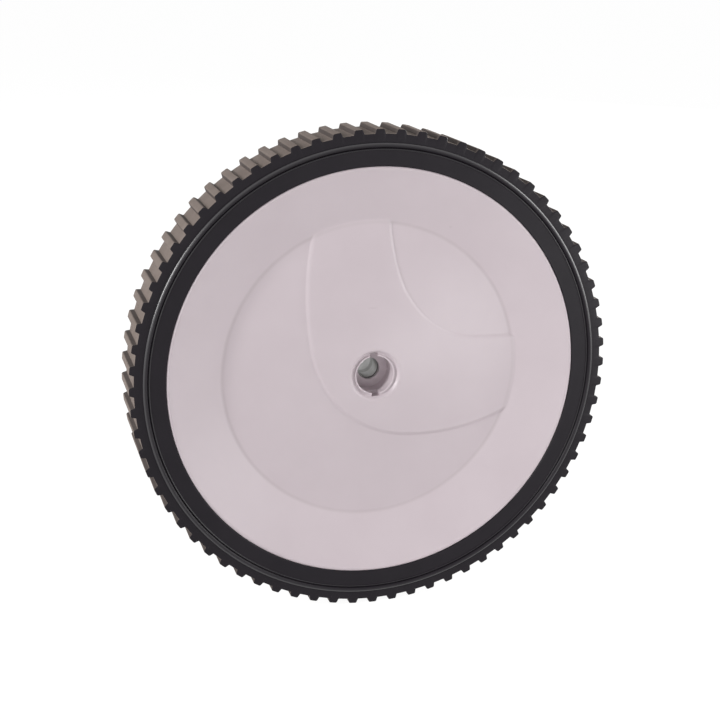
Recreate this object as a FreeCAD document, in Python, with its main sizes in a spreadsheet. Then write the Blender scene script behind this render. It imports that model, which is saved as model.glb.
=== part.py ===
import FreeCAD, Part
import math
import os

import Sketcher

# Lawn mower wheel: a moulded disc with a raised two-armed island, a lugged tyre on its rim, and two sealed
# ball bearings with a spacer in its hub. The axle runs along Y, the face looks along -Y and +Z is up.
# The origin is in the middle of the axle bore. Depths are counted backwards from the front edge of the rim.

doc = FreeCAD.newDocument("mower_wheel")
sheet = doc.addObject("Spreadsheet::Sheet", "sizes")

TYRE_SIZES = (
    ("tyre_diameter", 230.0, "over the lugs"),
    ("wheel_width", 27.0, "of tread and rim"),
    ("lug_count", 72, "straight cross lugs"),
    ("lug_height", 2.2, "above the tread's base"),
    ("lug_base_width", 4.9, "at the tread's base"),
    ("lug_top_width", 3.5, "between its sharp corners"),
    ("lug_corner", 0.7, "rounding of the lug's two long edges"),
    ("lug_turn", 0.8, "degrees clockwise from the top to the nearest lug"),
    ("bead_inset", 5.1, "from the tread's base in to the sidewall bead"),
    ("bead_width", 2.4, "of the rounded bead"),
    ("bead_height", 1.0, "it stands out of the sidewall"),
    ("groove_width", 0.3, "of the groove inside the bead"),
    ("groove_depth", 0.3, "into the sidewall"),
    ("line_gap", 0.05, "from the groove in to the fine line"),
    ("line_width", 0.7, "of the fine raised line"),
    ("line_height", 0.35, "it stands out of the sidewall"),
    ("tyre_height", 14.7, "from the rim out to the tread's base"),
)
DISC_SIZES = (
    ("rim_wall", 3.5, "of the band under the tyre"),
    ("rim_lip", 1.0, "flat edge round the front"),
    ("rim_bevel", 0.5, "of the rim's edges"),
    ("lock_height", 4.0, "of the rib that locks the tyre"),
    ("lock_width", 8.0, "of that rib"),
    ("disc_wall", 3.0, "of the dished web"),
    ("valley_diameter", 142.2, "of the lowest circle of the dish"),
    ("valley_depth", 9.8, "behind the front edge"),
    ("valley_rounding", 1.5, "of the fold there"),
    ("hub_depth", 1.7, "of the hub's face behind the front edge"),
    ("recess_diameter", 18.0, "of the cap socket"),
    ("lip_wall", 0.7, "of the lip round the socket's mouth"),
    ("lip_drop", 0.8, "of the lip below the hub's face"),
    ("gutter_width", 0.95, "of the gutter round the lip"),
    ("gutter_drop", 1.5, "of the gutter below the hub's face"),
    ("collar_width", 1.25, "of the bevel round the gutter"),
    ("collar_rounding", 0.6, "of the bevel's outer edge"),
    ("lip_rounding", 0.25, "of the lip's two edges"),
    ("boss_margin", 1.2, "of the hub's flat round the bevel"),
    ("floor_depth", 13.8, "of the socket's floor behind the front edge"),
    ("slot_width", 3.9, "of the two catch slots"),
    ("slot_depth", 5.0, "below the lip"),
    ("slot_turn", 3.0, "degrees anticlockwise from the top to the upper slot"),
    ("hole_clearance", 0.8, "of the hole in the socket's floor over the axle, in diameter"),
    ("web_wall", 2.0, "of that floor"),
    ("relief_depth", 0.5, "clears the inner ring and the seal"),
    ("shoulder_width", 1.8, "that the front outer ring sits on"),
    ("neck_wall", 3.7, "of the tube round the socket"),
    ("barrel_wall", 3.0, "round the bearings"),
    ("barrel_tail", 1.0, "past the rear bearing"),
    ("barrel_bevel", 0.6, "of its open end, a lead-in for the bearing"),
    ("rib_count", 8, "behind the web"),
    ("rib_wall", 2.2, "thickness of a rib"),
    ("rib_rim_inset", 3.0, "from the rim's back edge"),
    ("rib_hub_inset", 4.0, "from the barrel's open end"),
)
ISLAND_SIZES = (
    ("island_lift", 0.8, "above the dome"),
    ("island_edge", 2.0, "rounding of its long edges"),
    ("island_overrun", 2.2, "past the valley, where its arms have sunk into the dish"),
    ("arm_margin", 4.7, "that the outline is drawn past the arms"),
    ("outer_top", 24.9, "left of the axle, outer edge at the top"),
    ("outer_right", 21.0, "below the axle, outer edge at the right"),
    ("outer_bend", 52.0, "radius of the outer edge's bend"),
    ("outer_bend_across", 21.1, "right of the axle"),
    ("outer_bend_up", 19.6, "above the axle"),
    ("outer_rise", 135.6, "radius of the outer edge along the upper arm"),
    ("outer_run", 106.5, "radius of the outer edge along the right arm"),
    ("inner_top", 10.4, "right of the axle, inner edge at the top"),
    ("inner_right", 13.1, "above the axle, inner edge at the right"),
    ("inner_bend_inset", 27.4, "from the valley's radius to that of the inner edge's bend"),
    ("inner_bend_left", 12.1, "right of the axle, the bend's left side"),
    ("inner_bend_low", 14.1, "above the axle, the bend's lower side"),
    ("inner_rise", 87.7, "radius of the inner edge along the upper arm"),
    ("inner_run", 400.0, "radius of the inner edge along the right arm"),
)
BEARING_SIZES = (
    ("bearing_bore", 10.0, "for the axle"),
    ("bearing_diameter", 26.0, "in the barrel"),
    ("bearing_width", 8.0, "of one bearing"),
    ("ball_diameter", 4.76, "of a ball"),
    ("ball_count", 7, "in one bearing"),
    ("race_clearance", 0.12, "between ball and race"),
    ("inner_land_gap", 1.7, "from the ball circle in to the inner ring's land"),
    ("outer_land_gap", 1.8, "from the ball circle out to the outer ring's land"),
    ("seal_lip", 0.5, "step in the outer ring that a seal sits on"),
    ("seal_wall", 0.6, "thickness of a seal"),
    ("seal_inset", 0.2, "from the ring's face"),
    ("seal_gap", 0.2, "between a seal and what turns past it"),
    ("cage_wall", 1.6, "of the cage's ring, measured outwards"),
    ("cage_crown", 1.0, "that its fingers reach past the balls' middle"),
    ("pocket_clearance", 0.15, "between ball and cage"),
    ("spacer_length", 4.0, "between the inner rings"),
    ("spacer_wall", 1.8, "of the sleeve"),
)


# Part of a lug's corner rounding by which the middle of its arc lies inside the sharp corner, each way.
CORNER_INSET = 0.25
# Points closer than this, in millimetres, are the same point.
SAME_PLACE = 1e-4


class Size:
    """A number from the sheet: its value now, and the formula that keeps a feature tied to the cells."""

    def __init__(self, value, formula):
        self.value = value
        self.formula = formula

    def __add__(self, other):
        other = as_size(other)
        return Size(self.value + other.value, f"({self.formula} + {other.formula})")

    def __sub__(self, other):
        other = as_size(other)
        return Size(self.value - other.value, f"({self.formula} - {other.formula})")

    def __mul__(self, other):
        other = as_size(other)
        return Size(self.value * other.value, f"({self.formula} * {other.formula})")

    def __truediv__(self, other):
        other = as_size(other)
        return Size(self.value / other.value, f"({self.formula} / {other.formula})")

    def __neg__(self):
        return Size(-self.value, f"(0 - {self.formula})")

    def root(self):
        return Size(math.sqrt(self.value), f"sqrt({self.formula})")


def as_size(number):
    return number if isinstance(number, Size) else Size(float(number), repr(float(number)))


def fill_sheet(*tables):
    """Write every driving size in a cell with its alias, and return them by name."""
    named = {}
    row = 1
    for table in tables:
        for name, value, note in table:
            sheet.set(f"A{row}", name)
            sheet.set(f"B{row}", str(value))
            sheet.set(f"C{row}", note)
            sheet.setAlias(f"B{row}", name)
            named[name] = Size(value, f"sizes.{name}")
            row += 1
    doc.recompute()
    return named


size = fill_sheet(TYRE_SIZES, DISC_SIZES, ISLAND_SIZES, BEARING_SIZES)

# Places along the axle, from the bearings forward to the face.
bore_length = size["bearing_width"] * 2 + size["spacer_length"]
bore_front = -bore_length / 2
bore_back = bore_length / 2
web_back = bore_front - size["relief_depth"]
socket_floor = web_back - size["web_wall"]
rim_front = socket_floor - size["floor_depth"]
rim_back = rim_front + size["wheel_width"]
rim_middle = rim_front + size["wheel_width"] / 2
barrel_end = bore_back + size["barrel_tail"]
hub_face = rim_front + size["hub_depth"]
dome_top = hub_face + size["island_lift"]
valley_floor = rim_front + size["valley_depth"]

# Radii of the bearings, from the axle out.
bore_r = size["bearing_bore"] / 2
seat_r = size["bearing_diameter"] / 2
pitch_r = (bore_r + seat_r) / 2
ball_r = size["ball_diameter"] / 2
race_r = ball_r + size["race_clearance"]
inner_land_r = pitch_r - size["inner_land_gap"]
outer_land_r = pitch_r + size["outer_land_gap"]
seal_seat_r = outer_land_r + size["seal_lip"]
seal_depth = size["seal_inset"] + size["seal_wall"]

# Radii of the hub, from its socket out to the dish.
recess_r = size["recess_diameter"] / 2
mouth_r = recess_r + size["lip_wall"]
gutter_r = mouth_r + size["gutter_width"]
collar_r = gutter_r + size["collar_width"]
boss_r = collar_r + size["boss_margin"]
neck_r = recess_r + size["neck_wall"]
barrel_r = seat_r + size["barrel_wall"]
valley_r = size["valley_diameter"] / 2

# Radii of tyre and rim, from the lugs in.
lug_top_r = size["tyre_diameter"] / 2
tread_r = lug_top_r - size["lug_height"]
rim_r = tread_r - size["tyre_height"]
rim_inner_r = rim_r - size["rim_wall"]
rim_middle_r = rim_r - size["rim_wall"] / 2
lip_r = rim_r - size["rim_lip"]
lock_r = rim_r + size["lock_height"]
lock_front = rim_middle - size["lock_width"] / 2
lock_back = rim_middle + size["lock_width"] / 2


def cone_front(radius):
    """Place along the axle of the dish's outer cone, at a radius between valley and rim."""
    return rim_front + size["valley_depth"] * (lip_r - radius) / (lip_r - valley_r)


def origin_of(body, role):
    return next(item for item in body.Origin.OriginFeatures if item.Role == role)


def new_body(label):
    body = doc.addObject("PartDesign::Body", label)
    body.Label = label
    return body


def bind(feature, **lengths):
    """Tie properties of a feature to sheet sizes."""
    for name, length in lengths.items():
        feature.setExpression(name, as_size(length).formula)


def new_sketch(body, name, role, offset=None, turn=None):
    """A sketch on one of the body's origin planes, moved along its normal and turned clockwise on it."""
    sketch = body.newObject("Sketcher::SketchObject", name)
    sketch.AttachmentSupport = [(origin_of(body, role), "")]
    sketch.MapMode = "FlatFace"
    if offset is not None:
        sketch.setExpression("AttachmentOffset.Base.z", offset.formula)
    if turn is not None:
        sketch.setExpression("AttachmentOffset.Rotation.Angle", (-turn).formula)
    return sketch


def vector(point):
    return FreeCAD.Vector(as_size(point[0]).value, as_size(point[1]).value, 0)


def pin(sketch, geometry, end, point):
    """Hold one point of a sketch at its two sheet lengths from the sketch's origin."""
    for kind, axis, length in (("DistanceX", -2, point[0]), ("DistanceY", -1, point[1])):
        if isinstance(length, Size):
            number = sketch.addConstraint(Sketcher.Constraint(kind, -1, 1, geometry, end, length.value))
            sketch.setExpression(f"Constraints[{number}]", length.formula)
        else:
            sketch.addConstraint(Sketcher.Constraint("PointOnObject", geometry, end, axis))


def ends_of(sketch, geometry, start):
    """Numbers of a curve's two ends, the one at the start point first."""
    first = sketch.getPoint(geometry, 1)
    last = sketch.getPoint(geometry, 2)
    return (1, 2) if first.distanceToPoint(start) <= last.distanceToPoint(start) else (2, 1)


def draw_loop(sketch, corners):
    """Close a loop through the corners. A corner of three entries starts an arc through its third one."""
    drawn = []
    for here, after in zip(corners, corners[1:] + corners[:1]):
        start, finish = vector(here), vector(after)
        if len(here) == 3:
            curve = sketch.addGeometry(Part.Arc(start, vector(here[2]), finish), False)
        else:
            curve = sketch.addGeometry(Part.LineSegment(start, finish), False)
        drawn.append((curve, *ends_of(sketch, curve, start)))
    for (curve, first, _), (before, _, last), corner in zip(drawn, drawn[-1:] + drawn[:-1], corners):
        sketch.addConstraint(Sketcher.Constraint("Coincident", before, last, curve, first))
        pin(sketch, curve, first, corner)
        if len(corner) == 3:
            guide = sketch.addGeometry(Part.Point(vector(corner[2])), True)
            pin(sketch, guide, 1, corner[2])
            sketch.addConstraint(Sketcher.Constraint("PointOnObject", guide, 1, curve))


def turned(body, name, corners):
    """Revolve a section of (radius, place along the axle) corners about the axle."""
    sketch = new_sketch(body, f"{name}_section", "XY_Plane")
    draw_loop(sketch, corners)
    feature = body.newObject("PartDesign::Revolution", name)
    feature.Profile = sketch
    feature.ReferenceAxis = (sketch, ["V_Axis"])
    feature.Angle = 360
    doc.recompute()
    return feature


def round_pattern(body, name, feature, count):
    """Repeat a feature evenly round the axle."""
    pattern = body.newObject("PartDesign::PolarPattern", name)
    pattern.Originals = [feature]
    pattern.Axis = (origin_of(body, "Y_Axis"), [""])
    pattern.Angle = 360
    bind(pattern, Occurrences=count)
    body.Tip = pattern
    doc.recompute()
    return pattern


def ring_edges(feature, *rings):
    """Names of a feature's round edges that lie on the given (radius, place along the axle) rings."""
    names = []
    for number, edge in enumerate(feature.Shape.Edges, start=1):
        if not isinstance(edge.Curve, Part.Circle):
            continue
        for radius, place in rings:
            same_radius = math.isclose(edge.Curve.Radius, radius.value, abs_tol=SAME_PLACE)
            same_place = math.isclose(edge.Curve.Center.y, place.value, abs_tol=SAME_PLACE)
            if same_radius and same_place:
                names.append(f"Edge{number}")
    return names


def rounded(body, name, feature, edges, radius):
    fillet = body.newObject("PartDesign::Fillet", name)
    fillet.Base = (feature, edges)
    bind(fillet, Radius=radius)
    body.Tip = fillet
    doc.recompute()
    return fillet


def bevelled(body, name, feature, edges, width):
    chamfer = body.newObject("PartDesign::Chamfer", name)
    chamfer.Base = (feature, edges)
    bind(chamfer, Size=width)
    body.Tip = chamfer
    doc.recompute()
    return chamfer


def rectangle(inner, outer, front, back):
    return [(inner, front), (outer, front), (outer, back), (inner, back)]


def make_tyre():
    """Solid tyre: a ring moulded round the rim's locking rib, with cross lugs over the whole tread."""
    body = new_body("tyre")
    bead_r = tread_r - size["bead_inset"]
    bead_in = bead_r - size["bead_width"] / 2
    bead_out = bead_r + size["bead_width"] / 2
    groove_in = bead_in - size["groove_width"]
    groove_middle = bead_in - size["groove_width"] / 2
    line_out = groove_in - size["line_gap"]
    line_r = line_out - size["line_width"] / 2
    line_in = line_out - size["line_width"]
    front_line = rim_front - size["line_height"]
    front_groove = rim_front + size["groove_depth"]
    front_bead = rim_front - size["bead_height"]
    back_line = rim_back + size["line_height"]
    back_groove = rim_back - size["groove_depth"]
    back_bead = rim_back + size["bead_height"]
    turned(body, "tyre_ring", [
        (rim_r, rim_front),
        (line_in, rim_front),
        (line_r, front_line),
        (line_out, rim_front),
        (groove_in, rim_front),
        (groove_middle, front_groove),
        (bead_in, rim_front, (bead_r, front_bead)),
        (bead_out, rim_front),
        (tread_r, rim_front),
        (tread_r, rim_back),
        (bead_out, rim_back, (bead_r, back_bead)),
        (bead_in, rim_back),
        (groove_middle, back_groove),
        (groove_in, rim_back),
        (line_out, rim_back),
        (line_r, back_line),
        (line_in, rim_back),
        (rim_r, rim_back),
        (rim_r, lock_back),
        (lock_r, lock_back),
        (lock_r, lock_front),
        (rim_r, lock_front),
    ])
    half_base = size["lug_base_width"] / 2
    half_top = size["lug_top_width"] / 2
    corner = size["lug_corner"]
    root_r = tread_r - size["lug_height"] / 2
    flank = half_top + (half_base - half_top) * corner / size["lug_height"]
    root = half_base + (half_base - half_top) / 2
    corner_inset = corner * CORNER_INSET
    corner_mid = half_top - corner_inset
    corner_mid_r = lug_top_r - corner_inset
    sketch = new_sketch(body, "lug_profile", "XZ_Plane", -rim_back, size["lug_turn"])
    draw_loop(sketch, [
        (-root, root_r),
        (root, root_r),
        (flank, lug_top_r - corner, (corner_mid, corner_mid_r)),
        (half_top - corner, lug_top_r),
        (corner - half_top, lug_top_r, (-corner_mid, corner_mid_r)),
        (-flank, lug_top_r - corner),
    ])
    lug = body.newObject("PartDesign::Pad", "lug")
    lug.Profile = sketch
    bind(lug, Length=size["wheel_width"])
    doc.recompute()
    round_pattern(body, "lugs", lug, size["lug_count"])
    return body


def tangent_centre(point, radius, bend, bend_radius, side):
    """Centre of the circle of a radius through a point that touches the smaller bend from outside it."""
    between = bend - point
    apart = between.Length
    along = (radius ** 2 - (radius - bend_radius) ** 2 + apart ** 2) / (2 * apart)
    across = math.sqrt(radius ** 2 - along ** 2)
    ahead = between / apart
    return point + ahead * along + FreeCAD.Vector(-ahead.y, ahead.x, 0) * across * side


def short_arc(centre, start, finish):
    """The shorter arc from start to finish about a centre."""
    middle = (start + finish) / 2 - centre
    return Part.Arc(start, centre + middle.normalize() * (start - centre).Length, finish)


def draw_bent_edge(sketch, top, right, bend_at, bend_r, rise_r, run_r):
    """Three touching arcs from a point on the upper arm round a bend to a point on the right arm.

    Returns the first and last curve, each with the number of its free end.
    """
    top_at, right_at, bend = vector(top), vector(right), vector(bend_at)
    rise_at = tangent_centre(top_at, rise_r.value, bend, bend_r.value, 1)
    run_at = tangent_centre(right_at, run_r.value, bend, bend_r.value, -1)
    join_up = rise_at + (bend - rise_at).normalize() * rise_r.value
    join_right = run_at + (bend - run_at).normalize() * run_r.value
    stretches = ((rise_at, top_at, join_up), (bend, join_up, join_right), (run_at, join_right, right_at))
    curves = [sketch.addGeometry(short_arc(*stretch), False) for stretch in stretches]
    ends = [ends_of(sketch, curve, stretch[1]) for curve, stretch in zip(curves, stretches)]
    for before, after in ((0, 1), (1, 2)):
        sketch.addConstraint(Sketcher.Constraint(
            "Tangent", curves[before], ends[before][1], curves[after], ends[after][0]))
    pin(sketch, curves[0], ends[0][0], top)
    pin(sketch, curves[1], 3, bend_at)
    pin(sketch, curves[2], ends[2][1], right)
    for curve, radius in zip(curves, (rise_r, bend_r, run_r)):
        number = sketch.addConstraint(Sketcher.Constraint("Radius", curve, radius.value))
        sketch.setExpression(f"Constraints[{number}]", radius.formula)
    return (curves[0], ends[0][0], top_at), (curves[2], ends[2][1], right_at)


def join_ends(sketch, one, other):
    """Close an outline with a straight line between two free ends."""
    line = sketch.addGeometry(Part.LineSegment(one[2], other[2]), False)
    sketch.addConstraint(Sketcher.Constraint("Coincident", one[0], one[1], line, 1))
    sketch.addConstraint(Sketcher.Constraint("Coincident", line, 2, other[0], other[1]))


def make_island():
    """Raised two-armed island: a slice of the dome, lifted, cut to its outline, its long edges rounded."""
    body = new_body("island")
    reach = valley_r + size["island_overrun"]
    slope = (size["valley_depth"] - size["island_lift"] - size["hub_depth"]) / (valley_r - boss_r)
    reach_end = hub_face + slope * (reach - boss_r)
    slice_wall = size["island_lift"] + size["disc_wall"] / 2
    on_boss_r = collar_r + size["boss_margin"] / 2
    lifted = turned(body, "lifted_dome", [
        (on_boss_r, hub_face),
        (boss_r, hub_face),
        (reach, reach_end),
        (reach, reach_end + slice_wall),
        (boss_r, hub_face + slice_wall),
        (on_boss_r, hub_face + slice_wall),
    ])
    outline = new_sketch(body, "island_outline", "XZ_Plane", -rim_front)
    run = reach + size["arm_margin"]
    outer_bend = (size["outer_bend_across"], size["outer_bend_up"])
    inner_bend_r = valley_r - size["inner_bend_inset"]
    inner_bend = (size["inner_bend_left"] + inner_bend_r, size["inner_bend_low"] + inner_bend_r)
    outer = draw_bent_edge(outline, (-size["outer_top"], run), (run, -size["outer_right"]), outer_bend,
                           size["outer_bend"], size["outer_rise"], size["outer_run"])
    inner = draw_bent_edge(outline, (size["inner_top"], run), (run, size["inner_right"]), inner_bend,
                           inner_bend_r, size["inner_rise"], size["inner_run"])
    join_ends(outline, outer[0], inner[0])
    join_ends(outline, outer[1], inner[1])
    surround_r = run + size["outer_top"] + size["outer_right"] + size["inner_right"]
    circle = Part.Circle(FreeCAD.Vector(), FreeCAD.Vector(0, 0, 1), surround_r.value)
    surround = outline.addGeometry(circle, False)
    outline.addConstraint(Sketcher.Constraint("Coincident", surround, 3, -1, 1))
    number = outline.addConstraint(Sketcher.Constraint("Radius", surround, surround_r.value))
    outline.setExpression(f"Constraints[{number}]", surround_r.formula)
    trim = pocket(body, "outline_trim", outline, None)
    front_faces = [face for face in lifted.Shape.Faces if faces_front(face)]
    edges = []
    for number, edge in enumerate(trim.Shape.Edges, start=1):
        middle = edge.valueAt((edge.FirstParameter + edge.LastParameter) / 2)
        on_front = any(face.distToShape(Part.Vertex(middle))[0] < SAME_PLACE for face in front_faces)
        if on_front and not isinstance(edge.Curve, Part.Circle):
            edges.append(f"Edge{number}")
    rounded(body, "island_edges", trim, edges, size["island_edge"])
    return body


def faces_front(face):
    """True for a face that looks forward, away from the wheel's back, rather than sideways."""
    low_u, high_u, low_v, high_v = face.ParameterRange
    normal = face.normalAt((low_u + high_u) / 2, (low_v + high_v) / 2)
    return normal.y < -max(abs(normal.x), abs(normal.z))


def pocket(body, name, sketch, depth):
    """Cut a sketch backwards into the body, to a depth or, with none, right through."""
    before = body.Shape.Volume
    feature = body.newObject("PartDesign::Pocket", name)
    feature.Profile = sketch
    if depth is None:
        feature.Type = "ThroughAll"
    else:
        bind(feature, Length=depth)
    body.Tip = feature
    doc.recompute()
    if not feature.Shape.Volume < before:
        raise RuntimeError(f"{name} cuts nothing")
    return feature


def make_disc():
    """Moulded wheel: rim, dished web, ribs, bearing barrel and cap socket in one piece."""
    island = make_island()
    body = new_body("wheel_disc")
    gutter_floor = hub_face + size["gutter_drop"]
    lip_front = hub_face + size["lip_drop"]
    relief_r = seat_r - size["shoulder_width"]
    hole_r = bore_r + size["hole_clearance"] / 2
    step = barrel_r - neck_r
    wall = size["disc_wall"]
    section = turned(body, "disc_section", [
        (hole_r, socket_floor),
        (hole_r, web_back),
        (relief_r, web_back),
        (relief_r, bore_front),
        (seat_r, bore_front),
        (seat_r, barrel_end),
        (barrel_r, barrel_end),
        (barrel_r, socket_floor),
        (neck_r, socket_floor - step),
        (neck_r, dome_top + wall),
        (valley_r, valley_floor + wall),
        (rim_inner_r, cone_front(rim_inner_r) + wall),
        (rim_inner_r, rim_back),
        (rim_r, rim_back),
        (rim_r, lock_back),
        (lock_r, lock_back),
        (lock_r, lock_front),
        (rim_r, lock_front),
        (rim_r, rim_front),
        (lip_r, rim_front),
        (valley_r, valley_floor),
        (boss_r, dome_top),
        (boss_r, hub_face),
        (collar_r, hub_face),
        (gutter_r, gutter_floor),
        (mouth_r, gutter_floor),
        (mouth_r, lip_front),
        (recess_r, lip_front),
        (recess_r, socket_floor),
    ])
    fold = rounded(body, "valley_fold", section, ring_edges(section, (valley_r, valley_floor)),
                   size["valley_rounding"])
    collar = rounded(body, "collar_edge", fold, ring_edges(fold, (collar_r, hub_face)),
                     size["collar_rounding"])
    lip_rings = ((recess_r, lip_front), (mouth_r, lip_front))
    lip = rounded(body, "lip_edges", collar, ring_edges(collar, *lip_rings), size["lip_rounding"])
    rim_rings = ((rim_r, rim_front), (rim_r, rim_back), (rim_inner_r, rim_back))
    rims = bevelled(body, "rim_edges", lip, ring_edges(lip, *rim_rings), size["rim_bevel"])
    barrel_rings = ((barrel_r, barrel_end), (seat_r, barrel_end))
    bevelled(body, "barrel_edges", rims, ring_edges(rims, *barrel_rings), size["barrel_bevel"])
    add_ribs(body)
    slots = new_sketch(body, "slot_plan", "XZ_Plane", -lip_front, -size["slot_turn"])
    half_slot = size["slot_width"] / 2
    draw_loop(slots, rectangle(-half_slot, half_slot, -gutter_r, gutter_r))
    pocket(body, "catch_slots", slots, size["slot_depth"])
    join = body.newObject("PartDesign::Boolean", "island_on_disc")
    join.setObjects([island])
    join.Type = "Fuse"
    body.Tip = join
    doc.recompute()
    return body


def add_ribs(body):
    """Radial ribs behind the web, from the barrel out to the rim."""
    half_wall = size["disc_wall"] / 2
    in_neck = (recess_r + neck_r) / 2
    in_barrel = (seat_r + barrel_r) / 2
    in_web = (socket_floor + web_back) / 2
    sketch = new_sketch(body, "rib_side", "XY_Plane")
    draw_loop(sketch, [
        (in_barrel, barrel_end - size["rib_hub_inset"]),
        (in_barrel, in_web),
        (in_neck, in_web),
        (in_neck, dome_top + half_wall),
        (valley_r, valley_floor + half_wall),
        (rim_middle_r, cone_front(rim_middle_r) + half_wall),
        (rim_middle_r, rim_back - size["rib_rim_inset"]),
    ])
    rib = body.newObject("PartDesign::Pad", "rib")
    rib.Profile = sketch
    rib.SideType = "Symmetric"
    bind(rib, Length=size["rib_wall"])
    doc.recompute()
    round_pattern(body, "ribs", rib, size["rib_count"])


def at_first_ball(body, kind, name, middle, from_axle, **lengths):
    """A round primitive on the line from the axle out through the first ball, begun at a distance out."""
    feature = body.newObject(kind, name)
    feature.AttachmentSupport = [(origin_of(body, "YZ_Plane"), "")]
    feature.MapMode = "FlatFace"
    feature.setExpression("AttachmentOffset.Base.x", middle.formula)
    feature.setExpression("AttachmentOffset.Base.z", from_axle.formula)
    bind(feature, **lengths)
    body.Tip = feature
    doc.recompute()
    return feature


def race_half(land_r):
    """Half the width of the race where it opens on a ring's land."""
    drop = pitch_r - land_r
    return (race_r * race_r - drop * drop).root()


def make_bearing(where, front):
    """Sealed ball bearing with its front face at a place along the axle, named for where it sits."""
    back = front + size["bearing_width"]
    middle = front + size["bearing_width"] / 2
    inner_half = race_half(inner_land_r)
    outer_half = race_half(outer_land_r)
    inner_ring = new_body(f"{where}_bearing_inner_ring")
    turned(inner_ring, f"{where}_inner_section", [
        (bore_r, front),
        (inner_land_r, front),
        (inner_land_r, middle - inner_half, (pitch_r - race_r, middle)),
        (inner_land_r, middle + inner_half),
        (inner_land_r, back),
        (bore_r, back),
    ])
    outer_ring = new_body(f"{where}_bearing_outer_ring")
    turned(outer_ring, f"{where}_outer_section", [
        (seat_r, front),
        (seat_r, back),
        (seal_seat_r, back),
        (seal_seat_r, back - seal_depth),
        (outer_land_r, back - seal_depth),
        (outer_land_r, middle + outer_half, (pitch_r + race_r, middle)),
        (outer_land_r, middle - outer_half),
        (outer_land_r, front + seal_depth),
        (seal_seat_r, front + seal_depth),
        (seal_seat_r, front),
    ])
    seals = []
    seal_inner_r = inner_land_r + size["seal_gap"]
    for side, place in (("front", front + size["seal_inset"]), ("rear", back - seal_depth)):
        seal = new_body(f"{where}_bearing_{side}_seal")
        turned(seal, f"{where}_{side}_seal_section",
               rectangle(seal_inner_r, seal_seat_r, place, place + size["seal_wall"]))
        seals.append(seal)
    balls = new_body(f"{where}_bearing_balls")
    ball = at_first_ball(balls, "PartDesign::AdditiveSphere", f"{where}_ball", middle, pitch_r, Radius=ball_r)
    round_pattern(balls, f"{where}_ball_ring", ball, size["ball_count"])
    cage = new_body(f"{where}_bearing_cage")
    half_cage = size["cage_wall"] / 2
    cage_back = back - seal_depth - size["seal_gap"]
    turned(cage, f"{where}_cage_section",
           rectangle(pitch_r - half_cage, pitch_r + half_cage, middle - size["cage_crown"], cage_back))
    pocket_r = ball_r + size["pocket_clearance"]
    hollow = at_first_ball(cage, "PartDesign::SubtractiveCylinder", f"{where}_pocket", middle,
                           pitch_r - size["cage_wall"], Radius=pocket_r, Height=size["cage_wall"] * 2)
    round_pattern(cage, f"{where}_pockets", hollow, size["ball_count"])
    return [inner_ring, outer_ring, *seals, balls, cage]


def make_spacer():
    """Sleeve that keeps the inner rings apart on the axle."""
    body = new_body("bearing_spacer")
    half = size["spacer_length"] / 2
    turned(body, "spacer_section", rectangle(bore_r, bore_r + size["spacer_wall"], -half, half))
    return body


def check(parts):
    """Stop unless every object was made without an error and every part is a whole, valid shape."""
    failed = [item.Name for item in doc.Objects if "Invalid" in item.State or "Error" in item.State]
    if failed:
        raise RuntimeError(f"not built: {failed}")
    for part in parts:
        if part.Shape.isNull() or not part.Shape.isValid() or not part.Shape.Solids:
            raise RuntimeError(f"no sound shape: {part.Label}")


def main():
    parts = [make_tyre(), make_disc(), make_spacer()]
    parts += make_bearing("front", bore_front)
    parts += make_bearing("rear", bore_back - size["bearing_width"])
    doc.recompute()
    check(parts)
    os.makedirs("parts", exist_ok=True)
    for part in parts:
        part.Shape.exportStep(f"parts/{part.Label}.step")
        print(f"{part.Label}: {len(part.Shape.Solids)} solid, {part.Shape.Volume / 1000:.2f} cm3")


if __name__ == "__main__":
    main()
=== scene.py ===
"""Looks of a lawn mower wheel: its finishes, the fine form of its tyre, the studio and the camera.

Lengths are in metres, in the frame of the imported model: the axle lies along Y, the face looks along -Y
and +Z is up.
"""

from __future__ import annotations

import logging
import math
from dataclasses import dataclass, field
from enum import Enum

import bpy
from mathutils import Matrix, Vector

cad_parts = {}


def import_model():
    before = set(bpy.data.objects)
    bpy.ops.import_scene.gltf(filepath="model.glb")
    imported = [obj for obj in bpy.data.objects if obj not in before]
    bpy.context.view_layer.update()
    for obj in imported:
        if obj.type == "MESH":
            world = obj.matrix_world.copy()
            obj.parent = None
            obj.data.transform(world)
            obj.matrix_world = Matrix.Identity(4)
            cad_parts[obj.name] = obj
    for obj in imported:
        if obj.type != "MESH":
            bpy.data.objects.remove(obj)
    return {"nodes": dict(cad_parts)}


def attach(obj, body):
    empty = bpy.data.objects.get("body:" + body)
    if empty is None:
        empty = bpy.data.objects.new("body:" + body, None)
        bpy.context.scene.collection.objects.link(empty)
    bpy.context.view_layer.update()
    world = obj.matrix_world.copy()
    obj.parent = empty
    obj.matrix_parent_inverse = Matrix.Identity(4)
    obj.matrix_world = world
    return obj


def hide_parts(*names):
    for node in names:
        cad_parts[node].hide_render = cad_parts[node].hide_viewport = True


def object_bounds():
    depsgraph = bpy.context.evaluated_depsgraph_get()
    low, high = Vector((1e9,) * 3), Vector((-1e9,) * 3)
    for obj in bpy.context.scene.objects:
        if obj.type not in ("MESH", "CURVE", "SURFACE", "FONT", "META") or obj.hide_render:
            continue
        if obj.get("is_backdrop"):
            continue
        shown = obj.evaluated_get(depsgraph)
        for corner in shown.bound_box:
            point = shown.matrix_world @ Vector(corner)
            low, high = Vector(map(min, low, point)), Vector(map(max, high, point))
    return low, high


log = logging.getLogger("mower_wheel")

MM = 0.001
PHOTO_WIDTH = 720

Colour = tuple[float, float, float]
Point = tuple[float, float]
Position = tuple[float, float, float]

WHITE: Colour = (1.0, 1.0, 1.0)

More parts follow.
